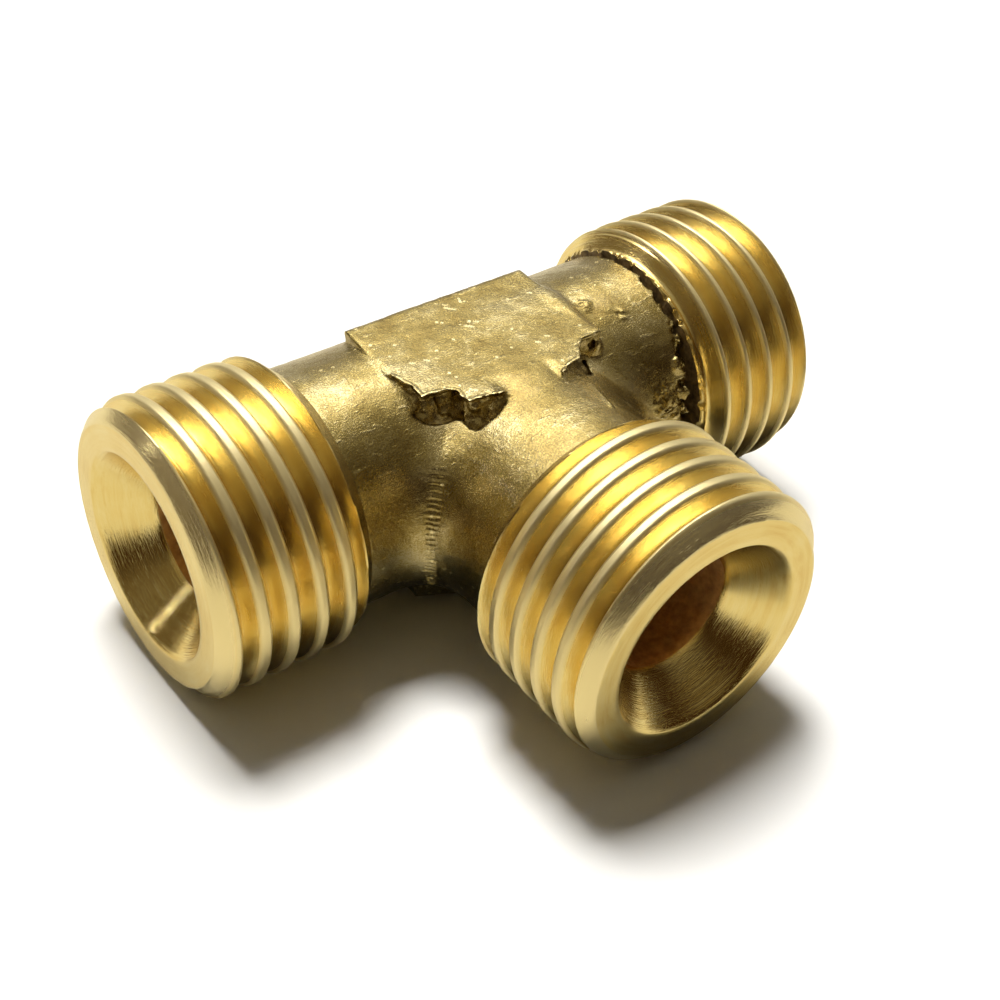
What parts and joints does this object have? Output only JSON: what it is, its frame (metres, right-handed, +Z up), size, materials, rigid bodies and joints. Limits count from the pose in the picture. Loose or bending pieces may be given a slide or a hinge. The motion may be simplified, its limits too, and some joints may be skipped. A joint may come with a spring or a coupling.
{
  "type": "male threaded equal tee fitting",
  "caption": "Forged brass equal tee for water lines, with male-threaded, coned ends, a through bore and flat bosses on the body.",
  "frame": {"origin": "where the run axis crosses the branch axis, midway between the run's end faces", "axes": "+X along the run to the right-hand end, -Y out along the branch, +Z up out of the upper flat boss"},
  "size_m": [0.0324, 0.0232, 0.0132],
  "materials": {
    "forged_brass": "as-forged, matt and slightly grainy, tarnished olive",
    "machined_brass": "freshly turned, bright, with fine tool lines"
  },
  "bodies": {
    "root": {"centre_body": "forged_brass", "right_neck": "forged_brass", "left_neck": "forged_brass", "branch_neck": "forged_brass", "right_thread": "machined_brass", "left_thread": "machined_brass", "branch_thread": "machined_brass"}
  },
  "joints": []
}
